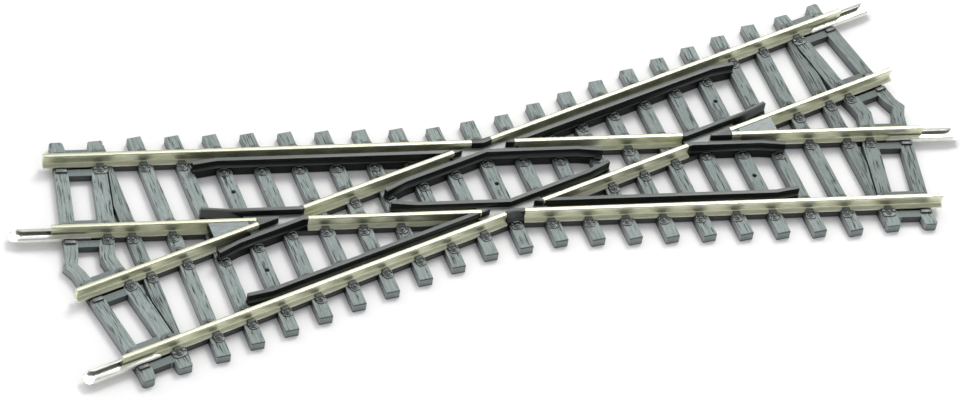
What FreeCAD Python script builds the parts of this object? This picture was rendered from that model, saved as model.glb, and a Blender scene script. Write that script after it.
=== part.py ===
import FreeCAD, Part
import math
import os

# Fixed diamond crossing for 16.5 mm gauge model railway track.
# Frame: origin on the underside plane at the centre of the diamond, +X along
# the bisector of the two tracks (the long way), +Y across, +Z up.  Millimetres.
# Left is -X, right +X, near -Y, far +Y.  Track A runs from the far left to the
# near right, track B mirrors it.
# Sleepers, chairs, rails and plastic crossings mirror about X = 0 and Y = 0.
# Joiners, jumper wires and their channels only repeat under a half turn about Z.
# Pieces are drawn in the far left quadrant and copied from there.

V = FreeCAD.Vector

# ---- driving dimensions ----
# track
GAUGE = 16.5              # between the inner faces of the rail heads
CROSS_ANGLE = 22.5        # between the two tracks, degrees
TRACK_LEN = 168.0         # each track, rail end to rail end
# rail
HEAD_W = 0.95
FOOT_W = 2.20
WEB_W = 0.56
RAIL_H = 2.54             # foot to head
FOOT_EDGE_H = 0.30        # thickness of the foot at its edge
OUTER_RAIL_GAP_X = 1.9    # outer rails stop this far from the obtuse apex
MID_RAIL_X0 = 6.1         # middle rails: obtuse end
MID_RAIL_X1 = 37.9        # middle rails: vee end
VEE_RAIL_X = 47.3         # the vee rails start here
VEE_FLAT_Y = 0.11         # ground inner side of a vee rail
# sleeper base
SLEEPER_T = 1.80          # underside to top
SEAT_Z = 1.56             # underside of the rail foot, sunk in its seats
SLEEPER_PITCH = 6.93      # centre to centre along X
SLEEPER_W = 2.66          # along X
SLEEPER_CLIP = 0.30       # clipped top corners of the sleeper ends
N_SLEEPER = 9             # parallel sleepers each side of the centre one
HALF_SLEEPER = 16.4       # half length of the centre sleeper
HALF_SLEEPER_0 = 15.05    # the others: this half length ...
HALF_SLEEPER_STEP = 1.378 # ... plus this for each pitch from the centre
TIE_HALF = 1.12           # half width of the webs that tie the sleepers
TIE_TOP = 1.50
LOW_Z = 0.25              # underside of the tying webs and the plastic bars
BAY_HALF = 3.25           # half width of the end bay plates
BAY_TOP = 1.74
PIN_R = 0.45              # track pin holes
PIN_X = 48.51             # corner pin holes
PIN_Y = 9.86
# plastic bars
CHECK_OFFS = 2.40         # running rail centre to check rail centre
CHECK_W = 0.76            # check and wing rail width
BAR_FOOT = 0.52           # half width of the foot of a bar
FIT = 0.035               # clearance of a plastic part around a rail
# rail joiners
JOINER_LEN = 13.4         # body
JOINER_ON = 7.2           # length of it standing on the rail
JOINER_TONGUE = 1.5       # bottom lip beyond the body
JOINER_GAP = 0.035        # running clearance around the foot
JOINER_WALL = 0.24        # sheet thickness
TONGUE_R = 0.95           # corner radius of the tongue
# jumper wires
WIRE_R = 0.17
WIRE_LOW_Z = 0.36
WIRE_HIGH_Z = 0.86

# ---- worked-out dimensions ----
HALF_ANGLE = math.radians(CROSS_ANGLE / 2.0)
COS, SIN, TAN = math.cos(HALF_ANGLE), math.sin(HALF_ANGLE), math.tan(HALF_ANGLE)
RAIL_OFFS = GAUGE / 2.0 + HEAD_W / 2.0     # rail centre from track centre
X_VEE = RAIL_OFFS / SIN                    # rail centre lines meet, acute
Y_OBT = RAIL_OFFS / COS                    # rail centre lines meet, obtuse
TOP_Z = SEAT_Z + RAIL_H
BAR_FOOT_Z = SLEEPER_T + 0.42              # top of the foot of a plastic bar
FLOOR_Z = SEAT_Z + 1.12                    # floors inside the crossings
HALF_LEN = TRACK_LEN / 2.0
CHECK_DY = CHECK_OFFS / COS
HEAD_DY = HEAD_W / 2 / COS                 # half a rail head, measured along Y

TRACK_A = (COS, -SIN)                      # unit headings, towards +X
TRACK_B = (COS, SIN)
OUTER_END = (-HALF_LEN * COS + RAIL_OFFS * SIN, HALF_LEN * SIN + RAIL_OFFS * COS)
VEE_END = (-HALF_LEN * COS - RAIL_OFFS * SIN, HALF_LEN * SIN - RAIL_OFFS * COS)


# ---- centre lines, Y at a given X in the far left quadrant ----
def outer_y(x):
    return Y_OBT - TAN * x


def mid_y(x):
    """Middle rail, between the obtuse point and the vee."""
    return Y_OBT + TAN * x


def vee_y(x):
    """Vee rail, beyond the acute point."""
    return -Y_OBT - TAN * x


def check_y(x):
    return outer_y(x) - CHECK_DY


def wing_y(x):
    return vee_y(x) + CHECK_DY


def on(line_y, x, shift=0.0):
    """Plan point on a centre line, moved along Y by shift."""
    return (x, line_y(x) + shift)


# ---- plan geometry ----
def unit(start, end):
    dx, dy = end[0] - start[0], end[1] - start[1]
    length = math.hypot(dx, dy)
    return (dx / length, dy / length)


def along(point, heading, distance):
    return (point[0] + heading[0] * distance, point[1] + heading[1] * distance)


def beside(point, heading, distance):
    """Point moved to the left of the heading."""
    return (point[0] - heading[1] * distance, point[1] + heading[0] * distance)


def mirrored(half):
    """Close a half outline by its mirror about first coordinate = 0."""
    return half + [(-a, b) for a, b in half[::-1]]


def mirrored_y(half):
    """Close a half outline by its mirror about second coordinate = 0."""
    return half + [(a, -b) for a, b in half[::-1]]


# ---- solids ----
def face_of(points):
    points = [V(*point) for point in points]
    return Part.Face(Part.makePolygon(points + [points[0]]))


def prism(outline, z0, z1):
    """Plan polygon carried from z0 to z1."""
    return face_of([(x, y, z0) for x, y in outline]).extrude(V(0, 0, z1 - z0))


def box(x0, x1, y0, y1, z0, z1):
    return Part.makeBox(x1 - x0, y1 - y0, z1 - z0, V(x0, y0, z0))


def sweep(profile, start, end):
    """Carry an (across, up) profile along the straight line start to end."""
    heading = unit(start, end)
    section = face_of([(*beside(start, heading, across), z) for across, z in profile])
    return section.extrude(V(end[0] - start[0], end[1] - start[1], 0))


def strip(line, half, z0, z1):
    """Upright bar of a given half width along a plan polyline, mitred at bends."""
    headings = [unit(a, b) for a, b in zip(line, line[1:])]
    left, right = [], []
    for i, point in enumerate(line):
        before = headings[max(i - 1, 0)]
        after = headings[min(i, len(headings) - 1)]
        both = (before[0] + after[0], before[1] + after[1])
        reach = half / (1 + before[0] * after[0] + before[1] * after[1])
        left.append(beside(point, both, reach))
        right.append(beside(point, both, -reach))
    return prism(left + right[::-1], z0, z1)


def fuse(shapes):
    return shapes[0].multiFuse(shapes[1:]).removeSplitter()


def largest(shape):
    return sorted(shape.Solids, key=lambda solid: -solid.Volume)[0]


def mirror_x(shape):
    return shape.mirror(V(0, 0, 0), V(1, 0, 0))


def mirror_y(shape):
    return shape.mirror(V(0, 0, 0), V(0, 1, 0))


def half_turn(shape):
    turned = shape.copy()
    turned.rotate(V(0, 0, 0), V(0, 0, 1), 180)
    return turned


def four(shapes):
    """Each far left shape, then its far right, near left and near right copies."""
    out = []
    for shape in shapes:
        out += [shape, mirror_x(shape), mirror_y(shape), half_turn(shape)]
    return out


# ---- rails ----
RAIL_LINES = {
    "outer": (OUTER_END, on(outer_y, -OUTER_RAIL_GAP_X)),
    "middle": (on(mid_y, -MID_RAIL_X1), on(mid_y, -MID_RAIL_X0)),
    "vee": (VEE_END, on(vee_y, -VEE_RAIL_X)),
}


def grind_vee(shape, flat_y):
    """Cut the inner side flat, so the pair of vee rails leave an insulating gap."""
    return shape.cut(box(-60, -40, -5, flat_y, 0, 6))


def rail(kind):
    foot, web, head = FOOT_W / 2, WEB_W / 2, HEAD_W / 2
    profile = mirrored([
        (foot, SEAT_Z), (foot, SEAT_Z + FOOT_EDGE_H),
        (web + 0.06, SEAT_Z + 0.58), (web, SEAT_Z + 0.72),
        (web, SEAT_Z + 1.62), (head, SEAT_Z + 1.82),
        (head, SEAT_Z + 2.40), (head - 0.11, TOP_Z)])
    solid = sweep(profile, *RAIL_LINES[kind])
    return grind_vee(solid, VEE_FLAT_Y) if kind == "vee" else solid


def rail_void(kind):
    """Room for a rail with its clearance, open above and below."""
    foot, web, head = FOOT_W / 2 + FIT, WEB_W / 2 + FIT, HEAD_W / 2 + FIT
    profile = mirrored([
        (foot, SEAT_Z - 0.4), (foot, SEAT_Z + FOOT_EDGE_H + FIT),
        (web + 0.06, SEAT_Z + 0.60 + FIT), (web, SEAT_Z + 0.74),
        (web, SEAT_Z + 1.62 - FIT), (head, SEAT_Z + 1.82 - FIT),
        (head, SEAT_Z + 2.9)])
    start, end = RAIL_LINES[kind]
    heading = unit(start, end)
    solid = sweep(profile, along(start, heading, -FIT), along(end, heading, FIT))
    return grind_vee(solid, VEE_FLAT_Y - FIT) if kind == "vee" else solid


RAIL_VOIDS = four([rail_void(kind) for kind in RAIL_LINES])


# ---- jumper wires ----
# Each ties the two lengths of an interrupted rail together underneath, with an
# upright leg at each end.  Wire b crosses above wire a.
# Columns: name, name after the half turn, start, end, X and Y signs for wire b.
JUMPERS = [
    ("vee_left", "vee_right",
     on(vee_y, -49.6, 0.20), (-36.9, -mid_y(-36.9)), (1, -1)),
    ("obtuse_far", "obtuse_near",
     on(outer_y, -3.4), on(outer_y, 7.4), (-1, 1)),
]
SLOT_HALF = 0.27          # wire channels and the square pockets at their ends
SLOT_OVERRUN = 0.28       # channel beyond the wire end
SLOT_HEADROOM = 0.26      # channel above the wire centre


def jumper_runs(start, end, signs):
    """(letter, start, end, height) of the two crossed wires."""
    flipped = [(x * signs[0], y * signs[1]) for x, y in (start, end)]
    return [("a", start, end, WIRE_LOW_Z), ("b", *flipped, WIRE_HIGH_Z)]


def wire(start, end, z):
    heading = unit(start, end)
    length = math.hypot(end[0] - start[0], end[1] - start[1])
    run = Part.makeCylinder(WIRE_R, length, V(*start, z), V(*heading, 0))
    legs = [Part.makeCylinder(WIRE_R, SEAT_Z - 0.02 - z, V(*p, z)) for p in (start, end)]
    balls = [Part.makeSphere(WIRE_R, V(*p, z)) for p in (start, end)]
    return fuse([run] + legs + balls)


def wire_slots(start, end, z):
    """Channel open to the underside, with a square pocket up to the rail at each end."""
    heading = unit(start, end)
    channel = [along(start, heading, -SLOT_OVERRUN), along(end, heading, SLOT_OVERRUN)]
    slots = [strip(channel, SLOT_HALF, -0.5, z + SLOT_HEADROOM)]
    for x, y in (start, end):
        slots.append(box(x - SLOT_HALF, x + SLOT_HALF, y - SLOT_HALF, y + SLOT_HALF,
                         -0.5, SEAT_Z + 0.05))
    return slots


# ---- sleeper base ----
# Far halves of the left end sleepers, (x, y); the first is the tenth from the centre.
END_SLEEPERS = [
    # straight
    [(-70.98, 0), (-68.32, 0), (-68.32, 27.5), (-68.75, 28.2), (-70.98, 28.2)],
    # cranked
    [(-77.12, -0.01), (-76.62, 2.3), (-76.15, 4.6), (-75.02, 8.1), (-71.15, 27.95),
     (-70.85, 28.35), (-68.45, 28.1), (-68.32, 27.6), (-71.95, 7.6), (-73.10, 4.2),
     (-73.75, 2.0), (-74.10, -0.01)],
    # last, also cranked
    [(-84.20, -0.01), (-83.15, 2.1), (-82.62, 4.6), (-81.62, 10.0), (-78.25, 27.2),
     (-78.18, 29.3), (-77.7, 29.75), (-75.95, 29.4), (-75.62, 28.9), (-75.62, 27.0),
     (-79.05, 9.5), (-80.02, 4.3), (-80.55, 2.2), (-81.50, -0.01)],
]
GROOVE_LINE = [(-71.68, 9.0), (-69.33, 20.9)]    # between the tenth and the cranked one
# Webs under the rails: centre line, from x, to x
TIES = [(outer_y, -70.0, 0.6), (mid_y, -45.5, 0.6), (vee_y, -74.0, -44.0)]
# End bay plates: rail end, start and stop distance along the rail
BAYS = [(OUTER_END, 3.9, 9.6), (VEE_END, 3.9, 9.8)]
POCKET = mirrored([(1.66, 1.18), (1.66, 3.0)])   # joiner pocket, (across, z)


def sleeper(k):
    """Straight sleeper along Y, k pitches from the centre."""
    end = HALF_SLEEPER_0 + HALF_SLEEPER_STEP * abs(k) if k else HALF_SLEEPER
    profile = [(-end, 0), (end, 0), (end, SLEEPER_T - SLEEPER_CLIP),
               (end - SLEEPER_CLIP, SLEEPER_T), (-end + SLEEPER_CLIP, SLEEPER_T),
               (-end, SLEEPER_T - SLEEPER_CLIP)]
    x = k * SLEEPER_PITCH - SLEEPER_W / 2
    return face_of([(x, y, z) for y, z in profile]).extrude(V(SLEEPER_W, 0, 0))


def ties(z0, clearance=0.0):
    return [strip([on(line_y, x0), on(line_y, x1)], TIE_HALF + clearance,
                  z0, TIE_TOP + clearance) for line_y, x0, x1 in TIES]


def bare_base():
    """Sleepers, webs and bay plates with seats, pockets, grooves and holes cut."""
    solids = [sleeper(k) for k in range(-N_SLEEPER, N_SLEEPER + 1)]
    solids += four([prism(outline, 0, SLEEPER_T) for outline in END_SLEEPERS])
    bays = [strip([along(end, TRACK_A, t0), along(end, TRACK_A, t1)], BAY_HALF,
                  LOW_Z, BAY_TOP) for end, t0, t1 in BAYS]
    solids += four(ties(LOW_Z) + bays)

    cuts = list(RAIL_VOIDS)
    cuts += four([sweep(POCKET, along(end, TRACK_A, -1.0), along(end, TRACK_A, 9.0))
                  for end in (OUTER_END, VEE_END)])
    cuts += four([strip(GROOVE_LINE, 0.13, SLEEPER_T - 0.55, SLEEPER_T + 1)])
    for x, y in ((0, 0), (PIN_X, PIN_Y), (-PIN_X, PIN_Y), (PIN_X, -PIN_Y), (-PIN_X, -PIN_Y)):
        cuts.append(Part.makeCylinder(PIN_R, SLEEPER_T + 2, V(x, y, -1)))
    for _, _, start, end, signs in JUMPERS:
        slots = []
        for _, p, q, z in jumper_runs(start, end, signs):
            slots += wire_slots(p, q, z)
        cuts += slots + [half_turn(slot) for slot in slots]
    return fuse(solids).cut(cuts)


# ---- rail chairs ----
def sided_sweep(profile, point, heading, side, length):
    """Profile on one side (1 left, -1 right) of a rail, centred on point."""
    return sweep([(side * across, z) for across, z in profile],
                 along(point, heading, -length / 2), along(point, heading, length / 2))


def bolt(point, heading, across):
    x, y = beside(point, heading, across)
    return Part.makeCylinder(0.40, 0.62, V(x, y, SLEEPER_T - 0.05))


def chair(point, heading, side, length=1.95, width=1.80):
    """One-sided rail chair: plate, clip hooked over the foot, bolt head."""
    inner, outer = FOOT_W / 2 + FIT, FOOT_W / 2 + width
    clip = SEAT_Z + FOOT_EDGE_H
    profile = [(inner, SLEEPER_T - 0.25), (inner, clip + FIT), (0.66, clip + 0.24),
               (0.66, clip + 0.46), (1.22, clip + 0.40), (1.50, SLEEPER_T + 0.34),
               (outer - 0.12, SLEEPER_T + 0.28), (outer, SLEEPER_T + 0.16),
               (outer, SLEEPER_T - 0.25)]
    return [sided_sweep(profile, point, heading, side, length),
            bolt(point, heading, side * 2.10)]


def block_chair(point, heading, side, length=1.95, width=1.75, bolted=True):
    """Chair plate beside a plastic bar through point."""
    inner = BAR_FOOT + FIT
    outer = inner + width
    profile = [(inner, SLEEPER_T - 0.25), (inner, SLEEPER_T + 0.62),
               (inner + 0.35, SLEEPER_T + 0.58), (inner + 0.55, SLEEPER_T + 0.30),
               (outer - 0.12, SLEEPER_T + 0.30), (outer, SLEEPER_T + 0.18),
               (outer, SLEEPER_T - 0.25)]
    solids = [sided_sweep(profile, point, heading, side, length)]
    if bolted:
        solids.append(bolt(point, heading, side * 1.50))
    return solids


def left_x(*numbers):
    """X of the numbered sleepers left of the centre."""
    return [-k * SLEEPER_PITCH for k in numbers]


# Columns: centre line, heading, sides, x stations
CHAIRS = [
    (outer_y, TRACK_A, (1,), left_x(*range(1, 10))),
    (outer_y, TRACK_A, (-1,), left_x(8, 9)),
    (mid_y, TRACK_B, (1,), left_x(3, 4, 5)),
    (mid_y, TRACK_B, (-1,), left_x(4)),
    (vee_y, TRACK_A, (1, -1), left_x(9) + [-69.65, -74.05]),
]
LONG_CHAIR_X = -70.35
# Columns: running rail line, shift along Y, heading, side, x stations
BLOCK_CHAIRS = [
    (outer_y, -CHECK_DY, TRACK_A, -1, left_x(*range(2, 8))),
    (mid_y, -CHECK_DY, TRACK_B, -1, left_x(1, 2)),
    (vee_y, CHECK_DY, TRACK_A, 1, left_x(6, 7)),
    (vee_y, CHECK_DY + 0.45, TRACK_A, 1, left_x(8)),
]
# Low pad beside a joiner pocket, (across, z)
LOW_PAD = [(1.70, 1.4), (1.70, 2.16), (2.05, 2.22), (2.55, 2.02), (2.55, 1.4)]


def chairs():
    quadrant = []
    for line_y, heading, sides, stations in CHAIRS:
        for x in stations:
            for side in sides:
                quadrant += chair(on(line_y, x), heading, side)
    for side in (1, -1):
        quadrant += chair(on(outer_y, LONG_CHAIR_X), TRACK_A, side, length=2.7, width=1.9)
    for line_y, shift, heading, side, stations in BLOCK_CHAIRS:
        for x in stations:
            quadrant += block_chair(on(line_y, x, shift), heading, side)
    # narrow plate without a bolt
    quadrant += block_chair(on(mid_y, -3 * SLEEPER_PITCH, -CHECK_DY - 0.5), TRACK_B, -1,
                            width=1.0, bolted=False)
    for end in (OUTER_END, VEE_END):
        for side in (1, -1):
            quadrant.append(sided_sweep(LOW_PAD, along(end, TRACK_A, 3.3), TRACK_A, side, 2.0))

    # blocks on the X axis, on the fifth sleepers
    x = -5 * SLEEPER_PITCH
    block = box(x - 0.95, x + 0.95, -0.72, 0.72, 1.5, 2.25)
    # plates on the centre sleeper, either side of the obtuse crossing
    centre = block_chair((0, Y_OBT - CHECK_DY - 0.02), (1, 0), -1, length=2.0)
    centre += block_chair((0, Y_OBT + 0.62), (1, 0), 1, length=2.1)
    return (four(quadrant) + [block, mirror_x(block)]
            + centre + [mirror_y(shape) for shape in centre])


# ---- plastic bars and crossings ----
# They hang between the sleepers and the webs, clear of both.
SLEEPER_KEEP = [box(k * SLEEPER_PITCH - SLEEPER_W / 2 - FIT,
                    k * SLEEPER_PITCH + SLEEPER_W / 2 + FIT, -40, 40, -1, SLEEPER_T)
                for k in range(-N_SLEEPER, N_SLEEPER + 1)]
TIE_KEEP = Part.makeCompound(four(ties(-1, FIT)))


def cleared(shapes, neighbours=()):
    """Fuse, cut clear of everything around, and drop the loose scraps."""
    tools = RAIL_VOIDS + SLEEPER_KEEP + [TIE_KEEP] + list(neighbours)
    return largest(fuse(shapes).cut(tools))


def footed_bar(line):
    return [strip(line, CHECK_W / 2, LOW_Z, TOP_Z),
            strip(line, BAR_FOOT, LOW_Z, BAR_FOOT_Z)]


def check_rail():
    return cleared(footed_bar([on(check_y, -6.45), on(check_y, -49.9),
                               on(check_y, -54.5, -0.80)]))


def obtuse_crossing(check):
    """Far crossing: knuckle, elbowed bar, floor and two tips."""
    knuckle_x = OUTER_RAIL_GAP_X - FIT
    knuckle_y = outer_y(-knuckle_x)
    knuckle = [(-knuckle_x, knuckle_y), (0, Y_OBT), (knuckle_x, knuckle_y)]
    solids = [strip(knuckle, HEAD_W / 2, SLEEPER_T, TOP_Z),
              strip(knuckle, 1.05, SLEEPER_T, SEAT_Z + 0.85)]

    bend_x, flare_x, flare = 17.2, 21.7, -0.62
    bend_y, flare_y = check_y(bend_x), check_y(flare_x) + flare
    solids += footed_bar([(-flare_x, flare_y), (-bend_x, bend_y), (0, check_y(0)),
                          (bend_x, bend_y), (flare_x, flare_y)])

    floor_y = check_y(6.3)
    solids.append(prism([(-6.3, 7.25), (-3.2, 8.55), (0, 9.3), (3.2, 8.55), (6.3, 7.25),
                         (6.3, floor_y), (0, check_y(0)), (-6.3, floor_y)],
                        SLEEPER_T, FLOOR_Z))
    solids.append(prism([(-6.9, 8.5), (-3.3, 9.2), (0, 9.3), (3.3, 9.2), (6.9, 8.5),
                         (6.9, 7.2), (0, 7.6), (-6.9, 7.2)], SLEEPER_T, FLOOR_Z))

    # tip in line with the end of the middle rail, filled out to the check rail line
    tip_x, root_x = -4.4, -(MID_RAIL_X0 - FIT)
    check_half_dy = CHECK_W / 2 / COS
    tip = prism([on(mid_y, tip_x, 0.02 - HEAD_DY), on(check_y, tip_x, check_half_dy),
                 on(check_y, root_x, check_half_dy), on(mid_y, root_x, -HEAD_DY)],
                SLEEPER_T, TOP_Z)
    solids += [tip, mirror_x(tip)]
    return cleared(solids, [check, mirror_x(check)])


def vee_taper(x0, x1, edge_dy, z0, z1):
    """Symmetric taper from -x0 to -x1, edge_dy outside the vee rail centre lines."""
    return prism(mirrored_y([on(vee_y, -x0, edge_dy), on(vee_y, -x1, edge_dy)]), z0, z1)


def vee_crossing():
    """Left crossing: wing rails, nose, fillers and floors."""
    wing_x = -(X_VEE - CHECK_DY / (2 * TAN))       # wing knuckle
    mid_end_x = -(MID_RAIL_X1 + FIT)
    solids = footed_bar([on(mid_y, mid_end_x), on(mid_y, wing_x),
                         on(wing_y, -52.0), on(wing_y, -56.45, 0.62)])
    solids.append(strip([on(mid_y, mid_end_x), on(mid_y, wing_x - 0.05)],
                        HEAD_W / 2, SLEEPER_T, TOP_Z))
    solids += [mirror_y(solid) for solid in solids]

    # nose, tapering to a blunt point
    solids.append(vee_taper(43.2, VEE_RAIL_X - FIT, HEAD_DY, SLEEPER_T, TOP_Z))

    # filler between the vee rails, split by height to clear web, head and foot
    # columns: start x, half width of the rail there, z0, z1
    for x0, half_rail, z0, z1 in (
            (46.9, WEB_W / 2 + 0.02, SEAT_Z + 0.70, SEAT_Z + 1.60),
            (49.0, HEAD_W / 2, SEAT_Z + 1.55, TOP_Z - 0.12),
            (51.0, FOOT_W / 2, SLEEPER_T, SEAT_Z + 0.75)):
        solids.append(vee_taper(x0, 56.2, -half_rail / COS - FIT, z0, z1))
    # thin fin between the ground faces
    solids.append(prism(mirrored_y([(-47.2, 0.07), (-49.3, 0.07)]),
                        SEAT_Z + 1.5, TOP_Z - 0.12))

    # throat floor, then the lower flangeway floor
    solids.append(prism(mirrored_y([(mid_end_x - 0.1, 0.95), (wing_x, 1.2),
                                    on(wing_y, -49.0)]), SLEEPER_T, FLOOR_Z))
    solids.append(prism(mirrored_y([on(wing_y, -48.5), on(wing_y, -52.0),
                                    (-55.9, wing_y(-56.0) + 0.4)]),
                        SLEEPER_T, BAR_FOOT_Z))
    return cleared(solids)


# ---- rail joiners ----
def joiner(end, heading):
    """Folded sheet channel that grips the foot; the body straddles the rail
    end and a short tongue of its floor leads in the next rail."""
    inner = FOOT_W / 2 + JOINER_GAP
    outer = inner + JOINER_WALL
    floor_top = SEAT_Z - JOINER_GAP
    floor_z = floor_top - JOINER_WALL
    fold_z = SEAT_Z + FOOT_EDGE_H + JOINER_GAP
    lip_edge = 0.50
    lip_z = fold_z + (inner - lip_edge) * 0.359 + 0.02
    profile = mirrored([
        (inner, floor_top), (inner, fold_z), (lip_edge, lip_z),
        (lip_edge, lip_z + JOINER_WALL), (outer - 0.06, fold_z + JOINER_WALL + 0.03),
        (outer, SEAT_Z + 0.26 + JOINER_GAP + JOINER_WALL * 0.5),
        (outer, floor_z + 0.08), (outer - 0.08, floor_z)])
    open_end = JOINER_ON - JOINER_LEN              # distance along the heading
    body_out = along(end, heading, open_end)
    body_in = along(end, heading, JOINER_ON)
    body = sweep(profile, body_out, body_in)

    # chamfer the lips back at both ends
    for point, inward in ((body_out, 1), (body_in, -1)):
        for side in (1, -1):
            outside = along(point, heading, -0.2 * inward)
            corners = [outside, along(point, heading, 1.9 * inward),
                       beside(outside, heading, 1.25 * side)]
            body = body.cut(prism(corners, SEAT_Z + 0.32, SEAT_Z + 3))

    # tongue outline as (across, along)
    half = outer - 0.10
    tip = open_end - JOINER_TONGUE
    outline = [(half, open_end + 0.4)]
    for i in range(7):
        angle = math.pi / 2 * i / 6
        outline.append((half - TONGUE_R + TONGUE_R * math.cos(angle),
                        tip + TONGUE_R - TONGUE_R * math.sin(angle)))
    plan = [beside(along(end, heading, t), heading, across)
            for across, t in mirrored(outline)]
    return fuse([body, prism(plan, floor_z, floor_top)])


# ---- build ----
def sleeper_base(plastic):
    """Base with its chairs, kept clear of the plastic that stands on it."""
    base = fuse([bare_base()] + chairs())
    return largest(base.cut(plastic + four([rail_void("middle")])))


check = check_rail()
obtuse = obtuse_crossing(check)
vee = vee_crossing()
plastic = four([check]) + [obtuse, mirror_y(obtuse), vee, mirror_x(vee)]

parts = {
    "sleeper_base": sleeper_base(plastic),
    "obtuse_crossing_far": obtuse,
    "obtuse_crossing_near": mirror_y(obtuse),
    "vee_crossing_left": vee,
    "vee_crossing_right": mirror_x(vee),
}

# pieces repeated in the four quadrants, named in the order of four()
QUADRANTS = ("far_left", "far_right", "near_left", "near_right")
VEE_QUADRANTS = ("left_far", "right_far", "left_near", "right_near")
for stem, shape, quadrants in (("outer_rail", rail("outer"), QUADRANTS),
                               ("middle_rail", rail("middle"), QUADRANTS),
                               ("vee_rail", rail("vee"), VEE_QUADRANTS),
                               ("check_rail", check, QUADRANTS)):
    for quadrant, copy in zip(quadrants, four([shape])):
        parts[stem + "_" + quadrant] = copy

# the left joiners sit on the far vee rail and the near outer rail
for place, end, heading in (("inner", VEE_END, TRACK_A),
                            ("outer", (OUTER_END[0], -OUTER_END[1]), TRACK_B)):
    shape = joiner(end, heading)
    parts["rail_joiner_left_" + place] = shape
    parts["rail_joiner_right_" + place] = half_turn(shape)

for name, turned_name, start, end, signs in JUMPERS:
    for letter, p, q, z in jumper_runs(start, end, signs):
        shape = wire(p, q, z)
        parts["jumper_wire_" + name + "_" + letter] = shape
        parts["jumper_wire_" + turned_name + "_" + letter] = half_turn(shape)

os.makedirs("parts", exist_ok=True)
for name, shape in parts.items():
    solids = shape.Solids
    out = solids[0] if len(solids) == 1 else Part.makeCompound(solids)
    out.exportStep("parts/" + name + ".step")
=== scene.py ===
"""Model railway diamond crossing: two straight 16.5 mm gauge tracks crossing at 22.5 degrees.

The sleepers stand on z = 0 with the middle of the crossing at the origin.  The long axis is x
(left is -x) and far is +y, so the tracks lie half the crossing angle either side of x.
Shapes are worked out in millimetres, for the left half, and turned or mirrored to the rest.
"""

import math

import bmesh
import bpy
import numpy as np
from mathutils import Matrix, Vector


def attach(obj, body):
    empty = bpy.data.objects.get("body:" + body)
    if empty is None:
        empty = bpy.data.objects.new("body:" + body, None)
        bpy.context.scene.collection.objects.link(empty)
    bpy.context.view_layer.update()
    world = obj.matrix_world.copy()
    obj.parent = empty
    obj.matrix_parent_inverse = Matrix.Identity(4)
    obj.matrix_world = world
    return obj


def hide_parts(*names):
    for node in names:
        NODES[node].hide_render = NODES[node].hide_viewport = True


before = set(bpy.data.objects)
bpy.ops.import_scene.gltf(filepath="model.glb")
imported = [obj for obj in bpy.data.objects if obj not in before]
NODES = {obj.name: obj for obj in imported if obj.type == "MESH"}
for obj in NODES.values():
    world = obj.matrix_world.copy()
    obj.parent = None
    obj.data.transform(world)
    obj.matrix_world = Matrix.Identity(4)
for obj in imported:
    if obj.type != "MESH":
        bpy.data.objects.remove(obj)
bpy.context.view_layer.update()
MM = 0.001

# ---------------------------------------------------------------------------
# driving dimensions in millimetres, the same as in the CAD frame
# ---------------------------------------------------------------------------
GAUGE, CROSS_ANGLE, TRACK_LEN = 16.5, 22.5, 168.0
HEAD_W, FOOT_W, WEB_W, RAIL_H = 0.95, 2.20, 0.56, 2.54
SLEEPER_TOP, SLEEPER_PITCH, SLEEPER_W = 1.80, 6.93, 2.66
SEAT_Z = 1.56            # underside of the rails
CHECK_OFFSET = 2.40      # running rail to check rail, centre to centre
FIT = 0.035              # clearance round a rail
JOINER_LEN, JOINER_ON_RAIL, JOINER_TONGUE = 13.4, 7.2, 1.5
JOINER_GAP, JOINER_WALL = 0.035, 0.24
PIN_R, PIN_X, PIN_Y = 0.45, 48.51, 9.86
VEE_RAIL_X = 47.3                        # where the metal vee rails stop
MIDDLE_RAIL_X0, MIDDLE_RAIL_X1 = 6.1, 37.9
OUTER_RAIL_X = 1.9                       # where the outer rails stop

HALF_ANGLE = math.radians(CROSS_ANGLE / 2)
COS, SIN, TAN = math.cos(HALF_ANGLE), math.sin(HALF_ANGLE), math.tan(HALF_ANGLE)
RAIL_OFFSET = GAUGE / 2 + HEAD_W / 2
OBTUSE_Y = RAIL_OFFSET / COS             # where two rail lines meet on the y axis
RAIL_TOP = SEAT_Z + RAIL_H
FLANGE_FLOOR = SEAT_Z + 1.12
HALF_TRACK = TRACK_LEN / 2
CHECK_DY = CHECK_OFFSET / COS

# plan directions of the rails in the far left quarter, pointing right
FALLING, RISING = (COS, -SIN), (COS, SIN)
OUTER_END = (-HALF_TRACK * COS + RAIL_OFFSET * SIN, HALF_TRACK * SIN + RAIL_OFFSET * COS)
VEE_END = (-HALF_TRACK * COS - RAIL_OFFSET * SIN, HALF_TRACK * SIN - RAIL_OFFSET * COS)

# signs of x and y for copies of a piece
QUARTERS = ((1, 1), (-1, 1), (1, -1), (-1, -1))
HALF_TURN = ((1, 1), (-1, -1))
ACROSS_X_AXIS = ((1, 1), (1, -1))


def on_outer(x, shift=0.0):
    """Point on the outer rail line, moved shift along y."""
    return (x, OBTUSE_Y - TAN * x + shift)


def on_middle(x, shift=0.0):
    return (x, OBTUSE_Y + TAN * x + shift)


def on_vee(x, shift=0.0):
    return (x, -OBTUSE_Y - TAN * x + shift)


def along(p, d, t):
    return (p[0] + d[0] * t, p[1] + d[1] * t)


# metal rails of the far left quarter, left end to right end
RAIL_LINES = {
    "outer_rail": (OUTER_END, on_outer(-OUTER_RAIL_X)),
    "middle_rail": (on_middle(-MIDDLE_RAIL_X1), on_middle(-MIDDLE_RAIL_X0)),
    "vee_rail": (VEE_END, on_vee(-VEE_RAIL_X)),
}


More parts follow.
